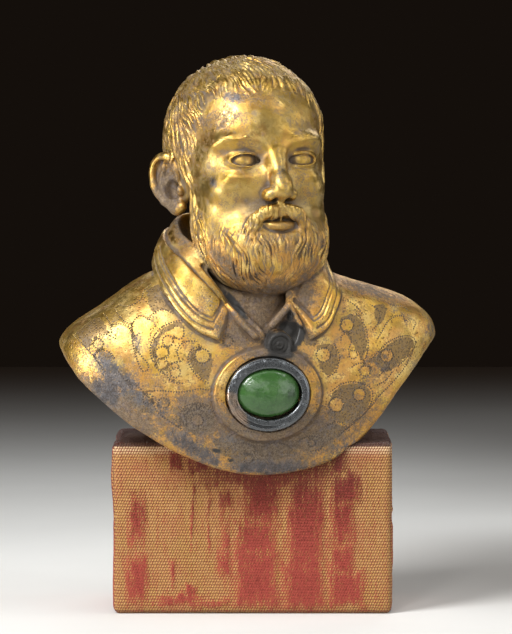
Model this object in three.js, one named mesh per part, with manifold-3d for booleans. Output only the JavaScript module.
// Small gilt bronze bust of a bearded man in a buttoned coat with a pointed collar. An oval
// silver setting with a green stone sits on the chest, and the bust hangs over the front edge
// of a block covered in worn velvet. Millimetres, +Z up, the front faces -Y, and the origin is
// the centre of the block's underside.
import * as THREE from "three";
import { mergeVertices } from "three/addons/utils/BufferGeometryUtils.js";
import { LoftGeometry } from "three/addons/geometries/LoftGeometry.js";
import { RoundedBoxGeometry } from "three/addons/geometries/RoundedBoxGeometry.js";
import Module from "manifold-3d";

const wasm = await Module();
wasm.setup();

// Driving sizes
const GAP = 0.3;
const BLOCK = { width: 69, depth: 36, height: 42.5, edge: 1.8, edgeSteps: 3 };
const TORSO = {
  turn: THREE.MathUtils.degToRad(13),
  shift: new THREE.Vector3(-1.5, -3.5, 0),
  squareness: 2.5,
  columns: 52,
};
// The torso by height: its reach to each shoulder and the depth of the chest and back.
const TORSO_LEVELS = [
  { z: 30, left: 47.6, right: 47.6, front: 18.5, back: 15 },
  { z: 38, left: 47.6, right: 47.6, front: 20.6, back: 16 },
  { z: 46, left: 47.6, right: 47.6, front: 21.9, back: 16.8 },
  { z: 54, left: 47.6, right: 47.6, front: 22.4, back: 17 },
  { z: 61, left: 47.5, right: 47.6, front: 22.2, back: 17 },
  { z: 65.6, left: 47.5, right: 47.9, front: 21.7, back: 16.8 },
  { z: 68.6, left: 46.5, right: 47.7, front: 21.1, back: 16.4 },
  { z: 71.7, left: 43.6, right: 46.7, front: 20.3, back: 15.9 },
  { z: 74.7, left: 38.9, right: 43.8, front: 19.3, back: 15.2 },
  { z: 77.7, left: 34.6, right: 39.2, front: 18, back: 14.3 },
  { z: 80.2, left: 30.9, right: 32, front: 16.6, back: 13.4 },
  { z: 82.2, left: 27.6, right: 25, front: 15.2, back: 12.4 },
  { z: 84.2, left: 23.8, right: 19.4, front: 13.6, back: 11.2 },
  { z: 85.8, left: 18.6, right: 14.6, front: 11.6, back: 9.8 },
];
// The lower edge is one U across the chest, cut straight through from front to back.
const LOWER_EDGE = [
  [-50, 70.5],
  [-47.9, 66],
  [-42.3, 58.4],
  [-31.1, 48.8],
  [-19, 41.2],
  [-8, 36.7],
  [2.2, 35.1],
  [13, 36.2],
  [22.6, 40],
  [30.2, 47],
  [36.8, 55.9],
  [42.8, 63.9],
  [48, 69.8],
];
const HEAD = {
  place: new THREE.Vector3(-1, -3, 110.7),
  turn: THREE.MathUtils.degToRad(20),
  lift: THREE.MathUtils.degToRad(6),
  heart: new THREE.Vector3(0, -1, -5),
  columns: 56,
  rows: 34,
  faceCrowding: 0.4,
  blend: 3,
  reach: 60,
};
const EAR = { height: 15, width: 9.2, depth: 2.6, rim: 1.3, side: 19, back: 3.4, drop: -5.2 };
const NECK = { radius: 11, throat: 5.6, bottom: 64, top: 98, lean: -2, columns: 24 };
const NECK_WELL = { radius: 13.4, floor: 76, notchHalf: 7.6, notchTop: 78.4, notchBottom: 70 };
// The collar's lines from the middle of the back round to its point, on one side.
const COLLAR = {
  foot: [
    [0, 12.6, 85],
    [10.5, 8.6, 84.5],
    [14.8, -1, 82.5],
    [11.6, -12.6, 76],
    [7.4, -17.4, 69.4],
  ],
  fold: [
    [0, 15, 97.4],
    [12.2, 10.6, 96.8],
    [15, 0, 93.6],
    [13, -8.4, 90],
    [11.2, -13.2, 84.6],
    [9.5, -16.2, 80],
    [8.4, -17.8, 76.6],
  ],
  edge: [
    [0, 20.4, 89.4],
    [15.6, 13.4, 89],
    [21.6, 2, 87],
    [23, -8.6, 81.4],
    [21.2, -14.2, 76.4],
    [17.8, -18.7, 71.8],
    [13.4, -21, 69.5],
  ],
  thick: 1.6,
  puff: 0.9,
  lean: 0.12,
  skew: 1.1,
  narrow: 2.2,
  chestFrom: 0.55,
  steps: 30,
};
// The raised edges of the open neckline and the hollows beside them, in the object's frame.
const NECKLINE = {
  edges: [
    { from: [-6, -23, 76.8], to: [0.6, -25.3, 69.6], radius: 1.05 },
    { from: [9, -21.2, 76.8], to: [4.4, -23.4, 71.4], radius: 0.85 },
    { from: [9, -21.2, 76.8], to: [11.8, -21.4, 71.6], radius: 0.8 },
  ],
  gap: { from: [-7, -20.6, 80.1], to: [1.2, -24.6, 70.8], radii: [1.3, 0.8] },
  hollow: { from: [8.9, -21, 75.4], to: [7.6, -25.4, 70], radii: [0.4, 3.2] },
};
const MEDALLION = {
  height: 55.2,
  lean: THREE.MathUtils.degToRad(1),
  rim: { halfWidth: 13.5, halfHeight: 11.4, rise: 1.1, sunk: 5 },
  setting: { halfWidth: 10.5, halfHeight: 9.1, back: -1.6, front: 2.1, round: 0.9 },
  stone: { halfWidth: 7.8, halfHeight: 5.85, lift: 0.45, back: -1.5, edge: 0.9, crown: 3.4 },
  columns: 36,
};
const BUTTON = { side: 3.1, height: 67.2, radius: 3.4, rise: 1.3, ring: 2.2 };

const MATERIALS = {
  gilt_bronze: new THREE.MeshStandardMaterial({ color: 0xc9952c, roughness: 0.35, metalness: 1 }),
  dark_silver: new THREE.MeshStandardMaterial({ color: 0x6d6f74, roughness: 0.4, metalness: 1 }),
  green_stone: new THREE.MeshStandardMaterial({ color: 0x2c7a2f, roughness: 0.15, metalness: 0 }),
  worn_velvet: new THREE.MeshStandardMaterial({ color: 0xa8603a, roughness: 0.95, metalness: 0 }),
};

// A closed geometry as a solid that can be joined and cut.
function solid(geometry) {
  const bare = new THREE.BufferGeometry().copy(geometry);
  bare.deleteAttribute("normal");
  bare.deleteAttribute("uv");
  const merged = mergeVertices(bare, 1e-4);
  const made = new wasm.Manifold(
    new wasm.Mesh({
      numProp: 3,
      vertProperties: merged.attributes.position.array,
      triVerts: new Uint32Array(merged.index.array),
    }),
  );
  if (made.volume() < 0) throw new Error("a geometry faces inwards");
  return made;
}

// A solid back as geometry.
function geometryOf(body) {
  const mesh = body.getMesh();
  return new THREE.BufferGeometry()
    .setAttribute("position", new THREE.BufferAttribute(mesh.vertProperties, mesh.numProp))
    .setIndex(new THREE.BufferAttribute(mesh.triVerts, 1));
}

const torsoPlace = new THREE.Matrix4().makeRotationZ(TORSO.turn).setPosition(TORSO.shift);
const headPlace = new THREE.Matrix4()
  .makeRotationZ(HEAD.turn)
  .multiply(new THREE.Matrix4().makeRotationX(-HEAD.lift))
  .setPosition(HEAD.place);

// Extrudes a flat shape along +Y, from a drawing in X and Z.
function throughY(shape, near, far) {
  const prism = new THREE.ExtrudeGeometry(shape, { depth: far - near, bevelEnabled: false });
  prism.rotateX(Math.PI / 2);
  prism.translate(0, far, 0);
  return prism;
}

// One closed ring of points, an ellipse squared off by the given power.
function squaredRing({ left, right, front, back, z }, columns, power) {
  const ring = [];
  for (let i = 0; i < columns; i++) {
    const angle = (i / columns) * 2 * Math.PI;
    const c = Math.cos(angle);
    const s = Math.sin(angle);
    const across = (c < 0 ? left : right) * Math.sign(c) * Math.abs(c) ** (2 / power);
    const deep = (s < 0 ? front : back) * Math.sign(s) * Math.abs(s) ** (2 / power);
    ring.push(new THREE.Vector3(across, deep, z));
  }
  return ring;
}

// A smooth line through points given as plain arrays.
function lineThrough(points) {
  return new THREE.CatmullRomCurve3(points.map(([x, y, z = 0]) => new THREE.Vector3(x, y, z)));
}

// Everything above the lower edge, as a prism that reaches through the torso.
function aboveLowerEdge() {
  const outline = new THREE.Shape().moveTo(60, 150).lineTo(-60, 150).lineTo(-60, 70);
  for (const point of lineThrough(LOWER_EDGE).getPoints(44)) outline.lineTo(point.x, point.y);
  outline.lineTo(60, 69);
  return solid(throughY(outline, -50, 50));
}

// The chest's own front surface, for what is laid on it.
function chestFront(x, z) {
  const top = TORSO_LEVELS.length - 1;
  const above = TORSO_LEVELS.findIndex((level, i) => level.z > z || i === top);
  const [a, b] = [TORSO_LEVELS[above - 1], TORSO_LEVELS[above]];
  const t = Math.min(1, (z - a.z) / (b.z - a.z));
  const side = x < 0 ? "left" : "right";
  const half = THREE.MathUtils.lerp(a[side], b[side], t);
  const front = THREE.MathUtils.lerp(a.front, b.front, t);
  const across = Math.min(1, Math.abs(x) / half) ** TORSO.squareness;
  return -front * (1 - across) ** (1 / TORSO.squareness);
}

function torso() {
  const rings = TORSO_LEVELS.map((level) => squaredRing(level, TORSO.columns, TORSO.squareness));
  return solid(new LoftGeometry(rings, { capStart: true, capEnd: true }));
}

// The well that the neck stands in, with a notch at the front for the open neckline.
function neckWell() {
  const { radius, floor, notchHalf, notchTop, notchBottom } = NECK_WELL;
  const well = new THREE.CylinderGeometry(radius + 1.5, radius, 24, 28).rotateX(Math.PI / 2);
  well.translate(0, NECK.lean, floor + 12);
  const notch = new THREE.Shape()
    .moveTo(0, notchBottom)
    .lineTo(notchHalf, notchTop)
    .lineTo(notchHalf, 90)
    .lineTo(-notchHalf, 90)
    .lineTo(-notchHalf, notchTop)
    .closePath();
  return solid(well).add(solid(throughY(notch, -30, -12)));
}

// The neck, drawn forward to the throat at its foot.
function neck() {
  const { radius, throat, bottom, top, lean, columns } = NECK;
  const rings = [];
  for (let i = 0; i <= 6; i++) {
    const t = i / 6;
    const level = {
      left: radius,
      right: radius,
      front: radius + throat * (1 - t) ** 1.5,
      back: radius,
      z: bottom + (top - bottom) * t,
    };
    const ring = squaredRing(level, columns, 2);
    ring.forEach((point) => (point.y += lean));
    rings.push(ring);
  }
  return solid(new LoftGeometry(rings, { capStart: true, capEnd: true }));
}

// One of the collar's lines, right round from point to point by way of the back.
function collarLine(points) {
  const mirrored = points.slice(1).map(([x, y, z]) => [-x, y, z]);
  return lineThrough([...mirrored.reverse(), ...points]);
}

// A point on such a line, the side running from -1 to 1; the collar sits a little askew.
function collarPoint(line, side, askew) {
  const point = line.getPoint((side + 1) / 2);
  point.x -= COLLAR.lean * (point.z - 78);
  point.x -= askew * 4 * Math.abs(side) * (1 - Math.abs(side));
  point.x -= COLLAR.narrow * THREE.MathUtils.smoothstep(side, 0.3, 0.75);
  return point;
}

// The turned-down collar: a stand round the neck, a rolled fold and a falling flap.
function collar() {
  const { thick, puff, steps, skew, chestFrom } = COLLAR;
  const [footLine, foldLine, edgeLine] = [COLLAR.foot, COLLAR.fold, COLLAR.edge].map(collarLine);
  const sections = [];
  for (let i = 0; i <= steps; i++) {
    const side = (2 * i) / steps - 1;
    const foot = collarPoint(footLine, side, 0);
    const fold = collarPoint(foldLine, side, skew / 3);
    const edge = collarPoint(edgeLine, side, skew);
    if (Math.abs(side) > chestFrom) {
      edge.y = Math.min(edge.y, chestFront(edge.x, edge.z) - thick);
    }
    const out = edge.clone().sub(foot).setZ(0).normalize();
    const at = (point, outwards, rise) =>
      point
        .clone()
        .addScaledVector(out, outwards)
        .add(new THREE.Vector3(0, 0, rise));
    sections.push([
      at(foot, 0, -4),
      at(foot, thick + 1, -5),
      at(edge, -thick, -thick * 0.9),
      at(edge, 0, 0),
      at(edge.clone().lerp(fold, 0.5), puff, puff),
      at(fold, thick / 2, thick * 0.1),
      at(fold, 0, thick * 0.45),
      at(fold, -thick / 2, thick * 0.1),
      at(foot, 0, 0),
    ]);
  }
  return solid(new LoftGeometry(sections, { capStart: true, capEnd: true }));
}

// Lays a body of revolution, drawn along Y about its middle, between two points.
function laid(geometry, from, to) {
  const [start, end] = [new THREE.Vector3(...from), new THREE.Vector3(...to)];
  const along = end.clone().sub(start).normalize();
  const turn = new THREE.Quaternion().setFromUnitVectors(new THREE.Vector3(0, 1, 0), along);
  const middle = start.lerp(end, 0.5);
  return solid(geometry.applyQuaternion(turn).translate(middle.x, middle.y, middle.z));
}

function apart(from, to) {
  return new THREE.Vector3(...from).distanceTo(new THREE.Vector3(...to));
}

function necklineEdge({ from, to, radius }) {
  return laid(new THREE.CapsuleGeometry(radius, apart(from, to), 2, 6), from, to);
}

function hollowBeside({ from, to, radii }) {
  return laid(new THREE.CylinderGeometry(radii[1], radii[0], apart(from, to), 8), from, to);
}

// Distance, roughly, from a point to an ellipsoid given by its centre and half-axes.
function toEllipsoid(p, [cx, cy, cz], [rx, ry, rz]) {
  const [x, y, z] = [p.x - cx, p.y - cy, p.z - cz];
  const near = Math.hypot(x / rx, y / ry, z / rz);
  const steep = Math.hypot(x / rx ** 2, y / ry ** 2, z / rz ** 2);
  return steep < 1e-9 ? -Math.min(rx, ry, rz) : (near * (near - 1)) / steep;
}

// Distance from a point to a rod that tapers from one round end to the other.
function toRod(p, a, b, ra, rb) {
  const from = new THREE.Vector3(...a);
  const along = new THREE.Vector3(...b).sub(from);
  const offset = p.clone().sub(from);
  const t = THREE.MathUtils.clamp(offset.dot(along) / along.lengthSq(), 0, 1);
  return offset.addScaledVector(along, -t).length() - (ra + (rb - ra) * t);
}

// The nearer of two distances, rounded where they meet.
function blendIn(a, b, blend) {
  const h = Math.max(blend - Math.abs(a - b), 0) / blend;
  return Math.min(a, b) - (h * h * blend) / 4;
}

// The head's form in its own frame: face towards -Y, eyes level with Z = 0. It has the
// proportions of a drawing manual: eyes at half height, each an eye's width apart.
function headForm(p) {
  const m = new THREE.Vector3(Math.abs(p.x), p.y, p.z);
  const blend = HEAD.blend;
  let d = toEllipsoid(m, [0, 3.6, 7], [19.8, 22.4, 20.2]);
  d = blendIn(d, toEllipsoid(m, [0, -4.6, -3], [16.2, 15.8, 22]), blend * 1.5);
  d = blendIn(d, toEllipsoid(m, [9.4, -11.6, -6.8], [5.2, 5.4, 5.2]), blend);
  d = blendIn(d, toEllipsoid(m, [5.6, -16.4, 4.6], [6.4, 3.4, 2.2]), blend);
  d = -blendIn(-d, toEllipsoid(m, [7.4, -22.2, -0.2], [4.6, 3.2, 2.6]), blend);
  d = blendIn(d, toEllipsoid(m, [7.2, -15.6, -0.2], [3.8, 3.2, 2.4]), blend / 4);
  d = blendIn(d, toRod(m, [0, -17.6, 3], [0, -23.6, -8.2], 2, 2.8), blend / 2);
  d = blendIn(d, toEllipsoid(m, [2.8, -21.2, -9.2], [2.2, 2.6, 2]), blend / 2);
  d = blendIn(d, toEllipsoid(m, [0, -10.2, -20.8], [16.6, 13.2, 13]), blend);
  d = blendIn(d, toEllipsoid(m, [10.4, -6, -15.6], [7.2, 9, 11]), blend);
  return blendIn(d, toRod(m, [1.4, -21.4, -13.4], [6.6, -20, -16.6], 2, 1.8), blend);
}

// How far the surface lies from the head's heart in a direction.
function reachOf(direction) {
  let near = 0;
  let far = HEAD.reach;
  for (let i = 0; i < 22; i++) {
    const middle = (near + far) / 2;
    const inside = headForm(HEAD.heart.clone().addScaledVector(direction, middle)) < 0;
    if (inside) near = middle;
    else far = middle;
  }
  return near;
}

// A sphere drawn out to the head's form, with its columns crowded towards the face.
function head() {
  const skin = new THREE.SphereGeometry(1, HEAD.columns, HEAD.rows).rotateX(Math.PI / 2);
  const points = skin.attributes.position;
  const p = new THREE.Vector3();
  for (let i = 0; i < points.count; i++) {
    p.fromBufferAttribute(points, i).normalize();
    const flat = Math.hypot(p.x, p.y);
    const angle = Math.atan2(p.x, -p.y);
    const crowded = angle - HEAD.faceCrowding * Math.sin(angle);
    p.set(Math.sin(crowded) * flat, -Math.cos(crowded) * flat, p.z).normalize();
    p.multiplyScalar(reachOf(p)).add(HEAD.heart);
    points.setXYZ(i, p.x, p.y, p.z);
  }
  return solid(skin);
}

// A profile of [radius, height] pairs turned into a round body on the Y axis.
function turned(profile, columns) {
  return new THREE.LatheGeometry(
    profile.map(([radius, height]) => new THREE.Vector2(radius, height)),
    columns,
  );
}

// A shallow dish with a rolled rim, laid against the side of the head.
function ear(side) {
  const { height, width, depth, rim, back, drop } = EAR;
  const dish = turned(
    [
      [0, -depth],
      [0.7, -depth],
      [0.94, -rim],
      [1, 0],
      [0.93, rim * 0.6],
      [0.8, rim * 0.3],
      [0.6, -rim * 0.4],
      [0, -rim * 0.6],
    ],
    16,
  );
  dish.scale(width / 2, 1, height / 2);
  dish.rotateZ(-Math.PI / 2);
  dish.rotateX(-0.16);
  dish.rotateZ(-0.65);
  dish.translate(EAR.side, back, drop);
  const made = solid(dish);
  return side < 0 ? made.mirror([1, 0, 0]) : made;
}

// A turned profile drawn out to an oval that faces -Y.
function oval(profile, halfWidth, halfHeight) {
  const body = turned(profile, MEDALLION.columns);
  body.scale(halfWidth, 1, halfHeight);
  return body.rotateX(Math.PI);
}

// Puts a part drawn with its face towards -Y on the front of the chest.
function onChest(geometry, x, z, lean) {
  geometry.rotateX(-lean);
  return solid(geometry.translate(x, chestFront(x, z), z));
}

function onMedallion(geometry) {
  return onChest(geometry, 0, MEDALLION.height, MEDALLION.lean);
}

function medallionRim() {
  const { halfWidth, halfHeight, rise, sunk } = MEDALLION.rim;
  const profile = [
    [0, -sunk],
    [1, -sunk],
    [1, 0],
    [0.97, rise],
    [0.88, rise],
    [0, rise],
  ];
  return onMedallion(oval(profile, halfWidth, halfHeight));
}

// The recess that the setting drops into, larger all round by the gap.
function settingRecess() {
  const { halfWidth, halfHeight, back } = MEDALLION.setting;
  const profile = [
    [0, back - GAP],
    [1, back - GAP],
    [1, 6],
    [0, 6],
  ];
  return onMedallion(oval(profile, halfWidth + GAP, halfHeight + GAP));
}

// The silver setting, a broad rounded oval band with the stone's hole through it.
function setting() {
  const { halfWidth, halfHeight, back, front, round } = MEDALLION.setting;
  const body = [
    [0, back],
    [1, back],
    [1, front - round],
    [0.96, front - round * 0.3],
    [0.86, front],
    [0, front],
  ];
  const hole = [
    [0, back - 1],
    [1, back - 1],
    [1, front - round * 0.5],
    [1.12, front + 1],
    [0, front + 1],
  ];
  const { halfWidth: stoneWide, halfHeight: stoneHigh, lift } = MEDALLION.stone;
  return onMedallion(oval(body, halfWidth, halfHeight)).subtract(
    onMedallion(oval(hole, stoneWide + GAP, stoneHigh + GAP).translate(0, 0, lift)),
  );
}

function stone() {
  const { halfWidth, halfHeight, lift, back, edge, crown } = MEDALLION.stone;
  const profile = [
    [0, back],
    [1, back],
    [1, edge],
  ];
  const steps = 6;
  for (let i = 1; i < steps; i++) {
    const angle = (i / steps) * (Math.PI / 2);
    profile.push([Math.cos(angle), edge + (crown - edge) * Math.sin(angle)]);
  }
  profile.push([0, crown]);
  return onMedallion(oval(profile, halfWidth, halfHeight).translate(0, 0, lift));
}

function button() {
  const { side, height, radius, rise, ring } = BUTTON;
  const profile = [
    [0, -3],
    [radius, -3],
    [radius, rise * 0.4],
    [radius * 0.86, rise * 0.8],
    [ring, rise * 0.8],
    [ring * 0.8, rise * 0.4],
    [ring * 0.5, rise],
    [0, rise],
  ];
  return onChest(turned(profile, 16).rotateX(Math.PI), side, height, 0);
}

function coveredBlock(extra) {
  const { width, depth, height, edge, edgeSteps } = BLOCK;
  const box = new RoundedBoxGeometry(
    width + 2 * extra,
    depth + 2 * extra,
    height + 2 * extra,
    edgeSteps,
    edge + extra,
  );
  return box.translate(0, 0, height / 2);
}

// The casting: torso, neck, collar and head in one, hanging over the block's front edge.
function bust() {
  const inPlace = (body, matrix) => body.transform(matrix.toArray());
  const dressed = torso().add(medallionRim()).subtract(neckWell()).add(neck()).add(collar());
  const bareHead = head().add(ear(1)).add(ear(-1));
  let body = inPlace(dressed, torsoPlace)
    .subtract(hollowBeside(NECKLINE.hollow))
    .subtract(hollowBeside(NECKLINE.gap))
    .add(inPlace(button(), torsoPlace));
  for (const edge of NECKLINE.edges) {
    body = body.add(necklineEdge(edge));
  }
  return body
    .intersect(aboveLowerEdge())
    .add(inPlace(bareHead, headPlace))
    .subtract(inPlace(settingRecess(), torsoPlace))
    .subtract(solid(coveredBlock(GAP)));
}

function meshOf(name, geometry, material) {
  const mesh = new THREE.Mesh(geometry, MATERIALS[material]);
  mesh.name = name;
  return mesh;
}

const onTorso = new THREE.Group();
onTorso.applyMatrix4(torsoPlace);
onTorso.add(
  meshOf("stone_setting", geometryOf(setting()), "dark_silver"),
  meshOf("green_stone", geometryOf(stone()), "green_stone"),
);

const group = new THREE.Group();
group.add(
  meshOf("bust", geometryOf(bust()), "gilt_bronze"),
  meshOf("velvet_block", coveredBlock(0), "worn_velvet"),
  onTorso,
);

export default group;
